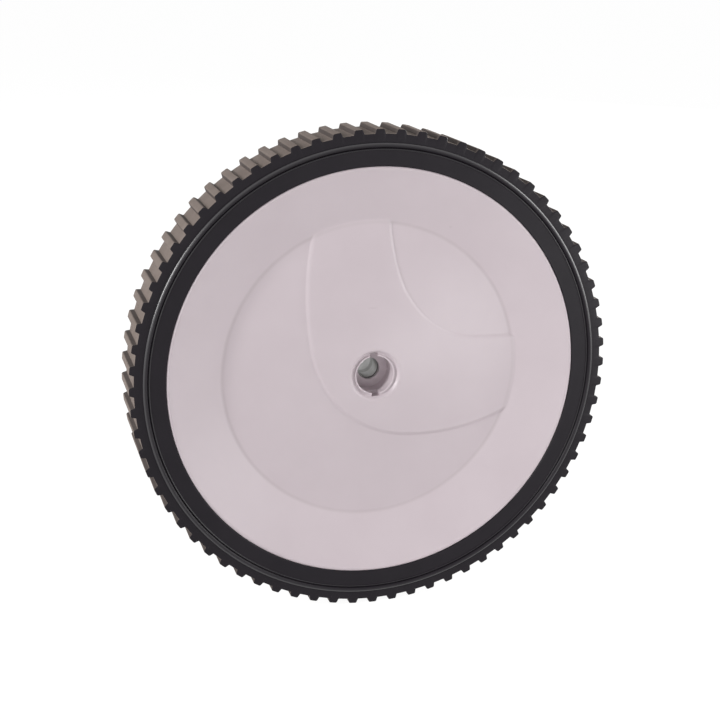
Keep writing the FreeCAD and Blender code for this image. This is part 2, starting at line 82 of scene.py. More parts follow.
# Blender's noise runs from 0 to 1 but lies mostly between the low and the high value.
NOISE_LOW = 0.3
NOISE_MIDDLE = 0.5
NOISE_HIGH = 0.7

# Share of the painted crease shade's reach where it starts to fade, and how far the edge of a scuff
# wanders.
CREASE_CORE = 0.2
SCUFF_CORE = 0.3
SCUFF_WANDER = 0.4


class Body(Enum):
    """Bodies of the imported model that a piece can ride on."""

    AXLE_SIDE = "axle_side"
    WHEEL = "wheel"
    FRONT_BALLS = "front_balls"
    REAR_BALLS = "rear_balls"


class Place(Enum):
    """The two seats of a ball bearing in the hub."""

    FRONT = "front"
    REAR = "rear"


class Effect(Enum):
    """Shader node groups that the finishes are made with."""

    MOULD_GRAIN = "mould_grain"
    TURNING_MARKS = "turning_marks"
    # Mask for a line of painted shade along a fold.
    PAINTED_CREASE_SHADE = "painted_crease_shade"
    SCUFF = "scuff"


class NodeBoard:
    """Short calls for adding nodes to one node tree and joining them."""

    def __init__(self, tree: bpy.types.NodeTree) -> None:
        """Take over a node tree and empty it.

        Args:
            tree: the tree to fill.
        """
        self.tree = tree
        tree.nodes.clear()

    def add(
        self, kind: str, inputs: dict[str | int, object] | None = None, **settings: object
    ) -> bpy.types.Node:
        """Add a node.

        Args:
            kind: Blender's name for the type of node.
            inputs: a plain value or an output socket for each input, by its name or number.
            settings: properties of the node itself.

        Returns:
            The new node.
        """
        node = self.tree.nodes.new(kind)
        for name, value in settings.items():
            setattr(node, name, value)
        for name, value in (inputs or {}).items():
            self.feed(node.inputs[name], value)
        return node

    def feed(self, socket: bpy.types.NodeSocket, value: object) -> None:
        """Join an output to an input socket, or set the socket to a plain value.

        Args:
            socket: the input.
            value: an output socket, or the value to set.
        """
        if isinstance(value, bpy.types.NodeSocket):
            self.tree.links.new(value, socket)
        else:
            socket.default_value = value

    def maths(self, operation: str, *values: object) -> bpy.types.NodeSocket:
        """Add a Math node.

        Args:
            operation: Blender's name for the operation.
            values: its inputs in order, plain numbers or output sockets.

        Returns:
            The socket with the result.
        """
        return self.add("ShaderNodeMath", dict(enumerate(values)), operation=operation).outputs[0]

    def hypotenuse(self, first: object, second: object) -> bpy.types.NodeSocket:
        """Length of the long side over two sides at right angles.

        Args:
            first: one side.
            second: the other.

        Returns:
            The socket with the result.
        """
        squares = [self.maths("MULTIPLY", side, side) for side in (first, second)]
        return self.maths("SQRT", self.maths("ADD", *squares))

    def spread(
        self, value: object, low: float, high: float, to_low: float, to_high: float
    ) -> bpy.types.NodeSocket:
        """Stretch a value from one range to another, held at both ends.

        Args:
            value: the output socket to stretch.
            low: start of its range.
            high: end of its range.
            to_low: result at the start.
            to_high: result at the end.

        Returns:
            The socket with the result.
        """
        ranges = {"Value": value, "From Min": low, "From Max": high, "To Min": to_low, "To Max": to_high}
        return self.add("ShaderNodeMapRange", ranges).outputs["Result"]

    def mix(self, share: object, first: object, second: object) -> bpy.types.NodeSocket:
        """Mix two colours.

        Args:
            share: how much of the second, from 0 to 1.
            first: a colour or an output socket.
            second: a colour or an output socket.

        Returns:
            The socket with the mixed colour.
        """
        node = self.add("ShaderNodeMix", data_type="RGBA")
        self.feed(node.inputs["Factor"], share)
        colours = [socket for socket in node.inputs if socket.type == "RGBA"]
        for socket, colour in zip(colours, (first, second)):
            self.feed(socket, with_alpha(colour))
        return next(socket for socket in node.outputs if socket.type == "RGBA")


def with_alpha(colour: object) -> object:
    """Give a plain colour the alpha that a socket asks for, and leave an output socket as it is."""
    return (*colour, 1.0) if isinstance(colour, tuple) else colour


def new_group(
    effect: Effect, inputs: dict[str, str], outputs: tuple[str, ...]
) -> tuple[NodeBoard, dict[str, bpy.types.NodeSocket], bpy.types.Node]:
    """Start a shader node group.

    Args:
        effect: the group's name.
        inputs: type of each input socket, by name.
        outputs: names of the outputs, all plain values.

    Returns:
        The board, the group's input sockets by name, and its output node.
    """
    tree = bpy.data.node_groups.new(effect.value, "ShaderNodeTree")
    for name, kind in inputs.items():
        tree.interface.new_socket(name, in_out="INPUT", socket_type=kind)
    for name in outputs:
        tree.interface.new_socket(name, in_out="OUTPUT", socket_type="NodeSocketFloat")
    board = NodeBoard(tree)
    entry = board.add("NodeGroupInput")
    return board, {name: entry.outputs[name] for name in inputs}, board.add("NodeGroupOutput")


def build_mould_grain() -> None:
    """Fine matt grain of a spark-eroded mould, with a slow drift over the whole piece."""
    sizes = {
        "Vector": "NodeSocketVector", "Grain Scale": "NodeSocketFloat", "Drift Scale": "NodeSocketFloat"}
    board, given, result = new_group(Effect.MOULD_GRAIN, sizes, ("Height", "Drift"))
    fine = board.add("ShaderNodeTexNoise", {
        "Vector": given["Vector"], "Scale": given["Grain Scale"], "Detail": 2.0, "Roughness": 0.65})
    slow = board.add("ShaderNodeTexNoise", {
        "Vector": given["Vector"], "Scale": given["Drift Scale"], "Detail": 4.0, "Roughness": 0.55})
    board.feed(result.inputs["Height"], fine.outputs[0])
    board.feed(result.inputs["Drift"], board.spread(slow.outputs[0], NOISE_LOW, NOISE_HIGH, 0.0, 1.0))


def build_turning_marks() -> None:
    """Fine rings that a lathe or grinding wheel leaves round the axle."""
    sizes = {"Vector": "NodeSocketVector", "Rings": "NodeSocketFloat"}
    board, given, result = new_group(Effect.TURNING_MARKS, sizes, ("Height",))
    parts = board.add("ShaderNodeSeparateXYZ", {"Vector": given["Vector"]})
    radius = board.hypotenuse(parts.outputs["X"], parts.outputs["Z"])
    along = board.maths("ADD", radius, parts.outputs["Y"])
    rings = board.maths("SINE", board.maths("MULTIPLY", along, given["Rings"]))
    uneven = board.add("ShaderNodeTexNoise", {"Scale": 900.0, "Detail": 2.0, "Vector": given["Vector"]})
    board.feed(result.inputs["Height"], board.maths("MULTIPLY", rings, uneven.outputs[0]))


def build_painted_crease_shade() -> None:
    """Thin line of painted shade in a fold that runs round the axle."""
    sizes = {"Vector": "NodeSocketVector", "Radius": "NodeSocketFloat", "Place": "NodeSocketFloat",
             "Reach": "NodeSocketFloat"}
    board, given, result = new_group(Effect.PAINTED_CREASE_SHADE, sizes, ("Mask",))
    parts = board.add("ShaderNodeSeparateXYZ", {"Vector": given["Vector"]})
    radius = board.hypotenuse(parts.outputs["X"], parts.outputs["Z"])
    out = board.maths("SUBTRACT", radius, given["Radius"])
    along = board.maths("SUBTRACT", parts.outputs["Y"], given["Place"])
    share = board.maths("DIVIDE", board.hypotenuse(out, along), given["Reach"])
    board.feed(result.inputs["Mask"], board.spread(share, CREASE_CORE, 1.0, 1.0, 0.0))


def build_scuff() -> None:
    """Ragged spot of unit radius."""
    board, given, result = new_group(Effect.SCUFF, {"Vector": "NodeSocketVector"}, ("Mask",))
    reach = board.add("ShaderNodeVectorMath", {0: given["Vector"]}, operation="LENGTH").outputs["Value"]
    ragged = board.add("ShaderNodeTexNoise", {"Vector": given["Vector"], "Scale": 2.5, "Detail": 3.0})
    wander = board.spread(ragged.outputs[0], NOISE_LOW, NOISE_HIGH, -SCUFF_WANDER, SCUFF_WANDER)
    edge = board.maths("ADD", reach, wander)
    board.feed(result.inputs["Mask"], board.spread(edge, SCUFF_CORE, 1.0, 1.0, 0.0))


class MaterialKit:
    """A material in the making: its Principled shader, and calls that place effects in it."""

    def __init__(self, name: str) -> None:
        """Start a material with a Principled shader and the object's own coordinates.

        Args:
            name: of the material.
        """
        self.material = bpy.data.materials.new(name)
        self.material.use_nodes = True
        self.board = NodeBoard(self.material.node_tree)
        self.shader = self.board.add("ShaderNodeBsdfPrincipled")
        self.board.add("ShaderNodeOutputMaterial", {"Surface": self.shader.outputs[0]})
        self.place = self.board.add("ShaderNodeTexCoord").outputs["Object"]

    def effect(
        self, effect: Effect, spot: bpy.types.NodeSocket | None = None, **sizes: float
    ) -> bpy.types.Node:
        """Place an effect on the object's own coordinates.

        Args:
            effect: which one.
            spot: coordinates about one spot of the object, in place of the whole object's.
            sizes: its values, by socket name with underscores for spaces.

        Returns:
            The group's node in this material.
        """
        group = self.board.add("ShaderNodeGroup", node_tree=bpy.data.node_groups[effect.value])
        self.board.feed(group.inputs["Vector"], spot or self.place)
        for name, value in sizes.items():
            group.inputs[name.replace("_", " ").title()].default_value = value
        return group

    def relief(self, height: bpy.types.NodeSocket, depth: float) -> bpy.types.Node:
        """Turn a height into the surface's fine relief.

        Args:
            height: in shares of the depth.
            depth: what a height of 1 stands for.

        Returns:
            The node that makes the relief.
        """
        bump = self.board.add("ShaderNodeBump", {"Strength": 1.0, "Distance": depth, "Height": height})
        self.board.feed(self.shader.inputs["Normal"], bump.outputs["Normal"])
        return bump


@dataclass(frozen=True)
class MouldedFinish:
    """Matt moulded plastic or rubber: two near shades, fine grain and slightly uneven gloss."""

    name: str
    shade: Colour
    other_shade: Colour
    roughness: float
    roughness_drift: float
    grain_scale: float
    grain_depth: float
    drift_scale: float
    specular: float = 0.5

    def build(self) -> bpy.types.Material:
        """Make the material.

        Returns:
            The finished material.
        """
        kit = MaterialKit(self.name)
        grain = kit.effect(Effect.MOULD_GRAIN, grain_scale=self.grain_scale, drift_scale=self.drift_scale)
        drift = grain.outputs["Drift"]
        board, shader = kit.board, kit.shader
        board.feed(shader.inputs["Base Color"], self.colour(kit, drift))
        low, high = self.roughness - self.roughness_drift, self.roughness + self.roughness_drift
        board.feed(shader.inputs["Roughness"], board.spread(drift, 0.0, 1.0, low, high))
        shader.inputs["Specular IOR Level"].default_value = self.specular
        self.soften(kit, kit.relief(grain.outputs["Height"], self.grain_depth))
        return kit.material

    def soften(self, kit: MaterialKit, relief: bpy.types.Node) -> None:
        """Leave the edges as they are shaped."""

    def colour(self, kit: MaterialKit, drift: bpy.types.NodeSocket) -> bpy.types.NodeSocket:
        """Mix the two shades.

        Args:
            kit: the material being made.
            drift: how much of the second shade, from 0 to 1.

        Returns:
            The socket with the surface's colour.
        """
        return kit.board.mix(drift, self.shade, self.other_shade)


@dataclass(frozen=True)
class Scuff:
    """A short faint mark: where it is, half its length, depth and width, and its turn on the face."""

    middle: Position
    half_sizes: Position
    turn: float = 0.0


@dataclass(frozen=True)
class DiscFinish(MouldedFinish):
    """The disc's plastic, with painted shade along the fold of the dish, small scuffs and softly shaded
    edges.

    The softening starts at hub_radius and is full at edge_blend times that radius.
    """

    # Painted shade: this darker colour draws a line along the fold of the dish in place of its shade; the
    # real scuffs use it too.
    dust_and_painted_light: Colour = (0.30, 0.25, 0.25)
    shade_and_scuff_share: float = 0.16
    fold_radius: float = 71.1 * MM
    fold_place: float = -16.6 * MM
    fold_reach: float = 1.3 * MM
    hub_radius: float = 13.5 * MM
    edge_reach: float = 1.8 * MM
    edge_blend: float = 1.2
    edge_samples: int = 8
    scuffs: tuple[Scuff, ...] = (
        Scuff(
            middle=(37.8 * MM, -18.4 * MM, 67.4 * MM),
            half_sizes=(0.9 * MM, 2.0 * MM, 0.6 * MM)),
        Scuff(
            middle=(-0.8 * MM, -22.2 * MM, 31.9 * MM),
            half_sizes=(3.0 * MM, 2.0 * MM, 0.4 * MM),
            turn=math.radians(4.0)),
    )

    def colour(self, kit: MaterialKit, drift: bpy.types.NodeSocket) -> bpy.types.NodeSocket:
        """Mix the two shades and lay the painted shade of the fold and the scuffs over them.

        Args:
            kit: the material being made.
            drift: how much of the second shade, from 0 to 1.

        Returns:
            The socket with the surface's colour.
        """
        board = kit.board
        # Painted shade along the fold of the dish, joined with the real scuffs, mixed in as the darker
        # colour.
        fold = kit.effect(
            Effect.PAINTED_CREASE_SHADE, radius=self.fold_radius, place=self.fold_place, reach=self.fold_reach)
        marks = fold.outputs["Mask"]
        for scuff in self.scuffs:
            spot = board.add("ShaderNodeMapping", {
                "Vector": kit.place, "Location": scuff.middle, "Rotation": (0.0, scuff.turn, 0.0),
                "Scale": scuff.half_sizes}, vector_type="TEXTURE")
            mark = kit.effect(Effect.SCUFF, spot.outputs["Vector"])
            marks = board.maths("MAXIMUM", marks, mark.outputs["Mask"])
        share = board.maths("MULTIPLY", marks, self.shade_and_scuff_share)
        return board.mix(share, super().colour(kit, drift), self.dust_and_painted_light)

    def soften(self, kit: MaterialKit, relief: bpy.types.Node) -> None:
        """Shade the edges outside the hub a little rounder than they are shaped.

        Args:
            kit: the material being made.
            relief: the node that the softer normal goes into.
        """
        board = kit.board
        parts = board.add("ShaderNodeSeparateXYZ", {"Vector": kit.place})
        radius = board.hypotenuse(parts.outputs["X"], parts.outputs["Z"])
        full_radius = self.hub_radius * self.edge_blend
        reach = board.spread(radius, self.hub_radius, full_radius, 0.0, self.edge_reach)
        soft = board.add("ShaderNodeBevel", {"Radius": reach}, samples=self.edge_samples)
        board.feed(relief.inputs["Normal"], soft.outputs["Normal"])


@dataclass(frozen=True)
class TyreFinish:
    """Tyre rubber: black sidewalls with shinier beads, and a tread greyed partly by dust and partly by a
    painted sheen.

    The rubber is as dull as the tread from dull_share of the dust and painted sheen on. The grain fades to
    bead_grain of its depth on the beads.
    """

    name: str = "tyre_rubber"
    wall: Colour = (0.0075, 0.0055, 0.0085)
    wall_other: Colour = (0.0105, 0.0080, 0.0115)
    # The tread colour is partly dust and partly a painted sheen, the light the rubber takes at a grazing
    # angle.
    tread: Colour = (0.205, 0.166, 0.146)
    tread_other: Colour = (0.255, 0.210, 0.188)
    wall_roughness: float = 0.40
    tread_roughness: float = 0.75
    wall_specular: float = 0.20
    grain_scale: float = 2600.0
    grain_depth: float = 0.00003
    drift_scale: float = 60.0
    coat_roughness: float = 0.28
    coat_ior: float = 1.64
    bead_grain: float = 0.1
    dull_share: float = 0.2

    def build(self, tread_mask: str, bead_mask: str) -> bpy.types.Material:
        """Make the material.

        Args:
            tread_mask: name of the mesh attribute with the tread's share of dust and painted light.
            bead_mask: name of the mesh attribute with the beads' share of shine.

        Returns:
            The finished material.
        """
        kit = MaterialKit(self.name)
        board, shader = kit.board, kit.shader
        grain = kit.effect(Effect.MOULD_GRAIN, grain_scale=self.grain_scale, drift_scale=self.drift_scale)
        # This mask brings in the tread's dust and painted sheen, with painted shade on the steep lug
        # flanks.
        mask = board.add("ShaderNodeAttribute", attribute_name=tread_mask).outputs["Fac"]
        wall = board.mix(grain.outputs["Drift"], self.wall, self.wall_other)
        tread = board.mix(grain.outputs["Drift"], self.tread, self.tread_other)
        board.feed(shader.inputs["Base Color"], board.mix(mask, wall, tread))
        gloss = board.spread(mask, 0.0, self.dull_share, self.wall_roughness, self.tread_roughness)
        board.feed(shader.inputs["Roughness"], gloss)
        shader.inputs["Specular IOR Level"].default_value = self.wall_specular
        bead = board.add("ShaderNodeAttribute", attribute_name=bead_mask).outputs["Fac"]
        board.feed(shader.inputs["Coat Weight"], bead)
        shader.inputs["Coat Roughness"].default_value = self.coat_roughness
        shader.inputs["Coat IOR"].default_value = self.coat_ior
        rough = board.spread(bead, 0.0, 1.0, 1.0, self.bead_grain)
        level = board.maths("SUBTRACT", grain.outputs["Height"], NOISE_MIDDLE)
        kit.relief(board.maths("MULTIPLY", level, rough), self.grain_depth)
        return kit.material


@dataclass(frozen=True)
class SteelFinish:
    """Turned or ground steel with fine rings round the axle.

    Its colour drifts down to dark_share of the shade, and its roughness varies by uneven_share each way.
    """

    name: str
    shade: Colour
    roughness: float
    rings: float
    ring_depth: float
    grain_scale: float = 4000.0
    drift_scale: float = 250.0
    dark_share: float = 0.8
    uneven_share: float = 0.2

    def build(self) -> bpy.types.Material:
        """Make the material.

        Returns:
            The finished material.
        """
        kit = MaterialKit(self.name)
        board, shader = kit.board, kit.shader
        marks = kit.effect(Effect.TURNING_MARKS, rings=self.rings)
        grain = kit.effect(Effect.MOULD_GRAIN, grain_scale=self.grain_scale, drift_scale=self.drift_scale)
        darker = tuple(part * self.dark_share for part in self.shade)
        board.feed(shader.inputs["Base Color"], board.mix(grain.outputs["Drift"], self.shade, darker))
        low = self.roughness * (1.0 - self.uneven_share)
        high = self.roughness * (1.0 + self.uneven_share)
        uneven = board.spread(grain.outputs["Height"], NOISE_LOW, NOISE_HIGH, low, high)
        board.feed(shader.inputs["Roughness"], uneven)
        shader.inputs["Metallic"].default_value = 1.0
        kit.relief(marks.outputs["Height"], self.ring_depth)
        return kit.material


@dataclass
class CadPieces:
    """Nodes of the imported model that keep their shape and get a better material."""

    nodes: dict[str, bpy.types.Object]

    def dress(self, name: str, material: bpy.types.Material) -> None:
        """Give one node its material.

        Args:
            name: of the node.
            material: for all its faces.
        """
        node = self.nodes[name]
        if not node.material_slots:
            node.data.materials.append(material)
        for slot in node.material_slots:
            slot.material = material
        log.info("%s dressed in %s", name, material.name)


@dataclass
class Tyre:
    """Rubber tyre: two moulded sidewalls and a tread of straight cross lugs.

    A higher flank_fade keeps more of the tread's dust and painted sheen on slopes, so less painted shade.
    A higher shine_lean moves the beads' shine outward.
    """

    lug_count: int = 72
    lug_turn: float = math.radians(0.8)
    outer_radius: float = 114.98 * MM
    tread_radius: float = 112.8 * MM
    seat_radius: float = 98.1 * MM
    lock_radius: float = 102.1 * MM
    lock_width: float = 8.0 * MM
    front: float = -26.3 * MM
    back: float = 0.7 * MM
    lug_base: float = 4.9 * MM
    lug_top: float = 3.5 * MM
    lug_corner: float = 0.7 * MM
    lug_foot: float = 0.25 * MM
    shoulder: float = 0.35 * MM
    bead_inset: float = 5.1 * MM
    bead_width: float = 2.4 * MM
    bead_height: float = 0.99 * MM
    groove_width: float = 0.3 * MM
    groove_depth: float = 0.3 * MM
    line_gap: float = 0.05 * MM
    line_width: float = 0.7 * MM
    line_height: float = 0.35 * MM
    curve_steps: int = 4
    foot_steps: int = 2
    bead_pieces: int = 10
    weld: float = 0.002 * MM
    crisp_angle: float = math.radians(32.0)
    tread_mask: str = "tread_dust_and_painted_light"
    bead_mask: str = "bead_shine"
    # Steep lug flanks keep only this share of the tread colour, so they are painted darker as shade.
    flank_dust_and_sheen: float = 0.2
    flank_fade: int = 4
    shine_lean: float = 2.6
    line_shine: float = 0.35
    finish: TyreFinish = field(default_factory=TyreFinish)

    def build(self) -> None:
        """Make the tyre, let it stand for the CAD tyre and seat it on the wheel."""
        rubber = self.finish.build(self.tread_mask, self.bead_mask)
        ring = bpy.data.objects.new("rubber_tyre", self.sector_mesh())
        bpy.context.scene.collection.objects.link(ring)
        modifier = ring.modifiers.new("lug_ring", "NODES")
        modifier.node_group = self.ring_tree()
        values = {"Lug Count": self.lug_count, "First Lug": self.lug_turn, "Weld": self.weld,
                  "Crisp Angle": self.crisp_angle, "Rubber": rubber}
        for item in modifier.node_group.interface.items_tree:
            if item.name in values:
                modifier[item.identifier] = values[item.name]
        depsgraph = bpy.context.evaluated_depsgraph_get()
        whole = bpy.data.meshes.new_from_object(ring.evaluated_get(depsgraph))
        ring.modifiers.clear()
        ring.data = whole
        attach(ring, Body.WHEEL.value)
        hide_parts("tyre")
        log.info("tyre of %d lugs has %d faces", self.lug_count, len(whole.polygons))

    def sector_mesh(self) -> bpy.types.Mesh:
        """Make one lug with half a gap each side and the sidewalls under it, ready to be repeated.

        Returns:
            The mesh, with the dust and painted light of its faces and the shine of its points as
            attributes.
        """
        stations = self.stations()
        sections = [self.section(angle, radius) for angle, radius in stations]
        points = [point for loop in sections for point in loop]
        around = len(sections[0])
        faces = []
        for station in range(len(stations) - 1):
            for step in range(around):
                near, far = station * around, (station + 1) * around
                after = (step + 1) % around
                faces.append((near + step, far + step, far + after, near + after))
        mesh = bpy.data.meshes.new("tyre_sector")
        mesh.from_pydata(points, [], faces)
        # Share of the tread's dust and painted sheen for each face, with painted shade on steep flanks.
        tread = self.tread_steps()
        dust_and_painted_light = [
            share if step in tread else 0.0
            for share in self.dust_and_painted_light_shares(stations)
            for step in range(around)
        ]
        mesh.attributes.new(self.tread_mask, "FLOAT", "FACE").data.foreach_set("value", dust_and_painted_light)
        shine = self.shine_shares(around) * len(stations)
        mesh.attributes.new(self.bead_mask, "FLOAT", "POINT").data.foreach_set("value", shine)
        return mesh

    def dust_and_painted_light_shares(self, stations: list[Point]) -> list[float]:
        """Share of dust and painted sheen on each stretch of a lug's outline: all facing outward, little
        on a steep flank, which paints it darker as shade.

        Args:
            stations: the outline as (angle, radius).

        Returns:
            A share from 0 to 1 for the stretch after each station but the last.
        """
        shares = []
        for (angle, radius), (next_angle, next_radius) in zip(stations, stations[1:]):
            rise = abs(next_radius - radius)
            steep = rise / math.hypot(rise, (next_angle - angle) * radius)
            # Steep flanks lose the tread colour: painted shade.
            shares.append(1.0 - (1.0 - self.flank_dust_and_sheen) * steep ** self.flank_fade)
        return shares

    def stations(self) -> list[Point]:
        """Outline of a lug and half a gap each side.

        Returns:
            (angle, radius) points from the middle of one gap to the next.
        """
        half_pitch = math.pi / self.lug_count
        crown = (0.0, self.outer_radius)
        corner = (self.lug_top / 2, self.outer_radius)
        foot_angle = math.asin(self.lug_base / 2 / self.tread_radius)
        foot = (self.lug_base / 2, self.tread_radius * math.cos(foot_angle))
        gap_angles = [foot_angle + (half_pitch - foot_angle) * share for share in (0.5, 1.0)]
        gap = [(self.tread_radius * math.sin(a), self.tread_radius * math.cos(a)) for a in gap_angles]
        half = [crown]
        half += rounded_corner(crown, corner, foot, self.lug_corner, self.curve_steps)
        half += rounded_corner(corner, foot, gap[0], self.lug_foot, self.foot_steps)
        half += gap
        outline = [(-across, out) for across, out in reversed(half[1:])] + half
        return [(math.atan2(across, out), math.hypot(across, out)) for across, out in outline]

    def section(self, angle: float, edge_radius: float) -> list[Position]:
        """Section through the tyre at one angle.

        Args:
            angle: clockwise from the lug's middle, seen from the front.
            edge_radius: of the tread there.

        Returns:
            The points of the closed section, from the rim up the front wall and down the back wall.
        """
        turns = [step * math.pi / 2 / self.curve_steps for step in range(self.curve_steps + 1)]
        edge = [
            (edge_radius - self.shoulder * (1 - math.sin(turn)), -self.shoulder * (1 - math.cos(turn)))
            for turn in turns
        ]
        profile = self.wall_profile() + edge
        lock_front = (self.front + self.back - self.lock_width) / 2
        lock_back = (self.front + self.back + self.lock_width) / 2
        loop = [(radius, self.front - out) for radius, out in profile]
        loop += [(radius, self.back + out) for radius, out in reversed(profile)]
        loop += [(self.seat_radius, lock_back), (self.lock_radius, lock_back),
                 (self.lock_radius, lock_front), (self.seat_radius, lock_front)]
        return [(radius * math.sin(angle), place, radius * math.cos(angle)) for radius, place in loop]

    def tread_steps(self) -> set[int]:
        """Find the section's stretches on the tread.

        Returns:
            Their numbers, from the middle of one shoulder to the middle of the other.
        """
        wall = len(self.wall_profile())
        first = wall + self.curve_steps // 2
        last = 2 * (wall + self.curve_steps + 1) - first - 1
        return set(range(first, last))

    def shine_shares(self, around: int) -> list[float]:
        """Share of shine round the section: most on the beads' outer sides, a little on the fine lines.

        Args:
            around: points in the section.

        Returns:
            A share from 0 to 1 for each point.
        """
        wall = len(self.wall_profile())
        back = 2 * (wall + self.curve_steps + 1) - 1
        shares = [0.0] * around
        for step in range(self.bead_pieces + 1):
            across = (step / self.bead_pieces) ** self.shine_lean
            place = wall - 1 - self.bead_pieces + step
            shares[place] = shares[back - place] = math.sin(math.pi * across) ** 2
        line_start = len(self.rim_edge())
        for step in range(self.curve_steps + 1):
            across = step / self.curve_steps
            place = line_start + step
            shares[place] = shares[back - place] = self.line_shine * math.sin(math.pi * across)
        return shares

    def rim_edge(self) -> list[Point]:
        """Start of a sidewall's profile, where it leaves the rim."""
        return [(self.seat_radius, -self.shoulder), (self.seat_radius + self.shoulder, 0.0)]

    def wall_profile(self) -> list[Point]:
        """Profile of a sidewall.

        Returns:
            (radius, how far it stands out) points from the rim to the outer edge of the bead.
        """
        bead_radius = self.tread_radius - self.bead_inset
        bead_in = bead_radius - self.bead_width / 2
        bead_out = bead_radius + self.bead_width / 2
        groove_in = bead_in - self.groove_width
        line_out = groove_in - self.line_gap
        profile = self.rim_edge()
        profile += swell(line_out - self.line_width, line_out, self.line_height, self.curve_steps)
        profile += swell(groove_in, bead_in, -self.groove_depth, self.curve_steps)
        profile += swell(bead_in, bead_out, self.bead_height, self.bead_pieces)[1:]
        return profile

    def ring_tree(self) -> bpy.types.NodeTree:
        """Build the node tree that repeats the sector round the axle and welds it into one ring.

        Returns:
            The tree, with its values as named inputs.
        """
        tree = bpy.data.node_groups.new("tyre_ring", "GeometryNodeTree")
        inputs = {
            "Sector": "NodeSocketGeometry", "Lug Count": "NodeSocketInt", "First Lug": "NodeSocketFloat",
            "Weld": "NodeSocketFloat", "Crisp Angle": "NodeSocketFloat", "Rubber": "NodeSocketMaterial"}
        for name, kind in inputs.items():
            tree.interface.new_socket(name, in_out="INPUT", socket_type=kind)
        tree.interface.new_socket("Ring", in_out="OUTPUT", socket_type="NodeSocketGeometry")
        board = NodeBoard(tree)
        given = board.add("NodeGroupInput").outputs
        points = board.add("GeometryNodePoints", {"Count": given["Lug Count"]})
        pitch = board.maths("DIVIDE", math.tau, given["Lug Count"])
        index = board.add("GeometryNodeInputIndex").outputs["Index"]
        turn = board.maths("MULTIPLY_ADD", index, pitch, given["First Lug"])
        euler = board.add("ShaderNodeCombineXYZ", {"Y": turn})
        rotation = board.add("FunctionNodeEulerToRotation", {0: euler.outputs[0]})
        copies = board.add("GeometryNodeInstanceOnPoints", {
            "Points": points.outputs[0], "Instance": given["Sector"], "Rotation": rotation.outputs[0]})
        real = board.add("GeometryNodeRealizeInstances", {"Geometry": copies.outputs[0]})
        whole = board.add("GeometryNodeMergeByDistance", {
            "Geometry": real.outputs[0], "Distance": given["Weld"]})
        fold = board.add("GeometryNodeInputMeshEdgeAngle").outputs["Unsigned Angle"]
        soft = board.add("FunctionNodeCompare", {0: fold, 1: given["Crisp Angle"]}, operation="LESS_THAN")
        faces = board.add("GeometryNodeSetShadeSmooth", {
            "Geometry": whole.outputs[0], "Shade Smooth": True}, domain="FACE")
        edges = board.add("GeometryNodeSetShadeSmooth", {
            "Geometry": faces.outputs[0], "Shade Smooth": soft.outputs[0]}, domain="EDGE")
        painted = board.add("GeometryNodeSetMaterial", {
            "Geometry": edges.outputs[0], "Material": given["Rubber"]})
        board.add("NodeGroupOutput", {"Ring": painted.outputs[0]})
        return tree


def rounded_corner(before: Point, corner: Point, after: Point, radius: float, steps: int) -> list[Point]:
    """Replace a corner of an outline by an arc.

    Args:
        before: the point before the corner.
        corner: the sharp corner.
        after: the point after it.
        radius: of the arc.
        steps: straight pieces in the arc.

    Returns:
        The arc's points in order.
    """
    here = Vector(corner)
    back = (Vector(before) - here).normalized()
    ahead = (Vector(after) - here).normalized()
    half = back.angle(ahead) / 2
    reach = radius / math.tan(half)
    start, finish = here + back * reach, here + ahead * reach
    centre = here + (back + ahead).normalized() * (radius / math.sin(half))
    first, last = start - centre, finish - centre
    sweep = first.angle_signed(last)
    arc = []
    for step in range(steps + 1):
        turn = -sweep * step / steps
        cosine, sine = math.cos(turn), math.sin(turn)
        arc.append((
            centre.x + first.x * cosine - first.y * sine,
            centre.y + first.x * sine + first.y * cosine,
        ))
    return arc


def swell(start: float, finish: float, height: float, steps: int) -> list[Point]:
    """Round ridge on a flat wall, or a round groove where the height is negative.

    Args:
        start: radius where it leaves the wall.
        finish: radius where it comes back.
        height: of its top above the wall.
        steps: straight pieces across it.

    Returns:
        (radius, height) points from start to finish.
    """
    half = (finish - start) / 2
    radius = (half * half + height * height) / (2 * abs(height))
    opening = 2 * math.atan2(abs(height), half)
    points = []
    for step in range(steps + 1):
        angle = opening * (2 * step / steps - 1)
        rise = radius * (math.cos(angle) - math.cos(opening))
        points.append((start + half + radius * math.sin(angle), math.copysign(rise, height)))
    return points


@dataclass
class WheelDisc:
    """Moulded wheel disc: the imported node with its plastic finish."""

    node: str = "wheel_disc"
    finish: DiscFinish = DiscFinish(
        name="disc_plastic", shade=(0.555, 0.482, 0.512), other_shade=(0.585, 0.512, 0.542),
        roughness=0.36, roughness_drift=0.04, grain_scale=1800.0, grain_depth=0.00002, drift_scale=25.0)

    def build(self, pieces: CadPieces) -> None:
        """Dress the node.

        Args:
            pieces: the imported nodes.
        """
        pieces.dress(self.node, self.finish.build())


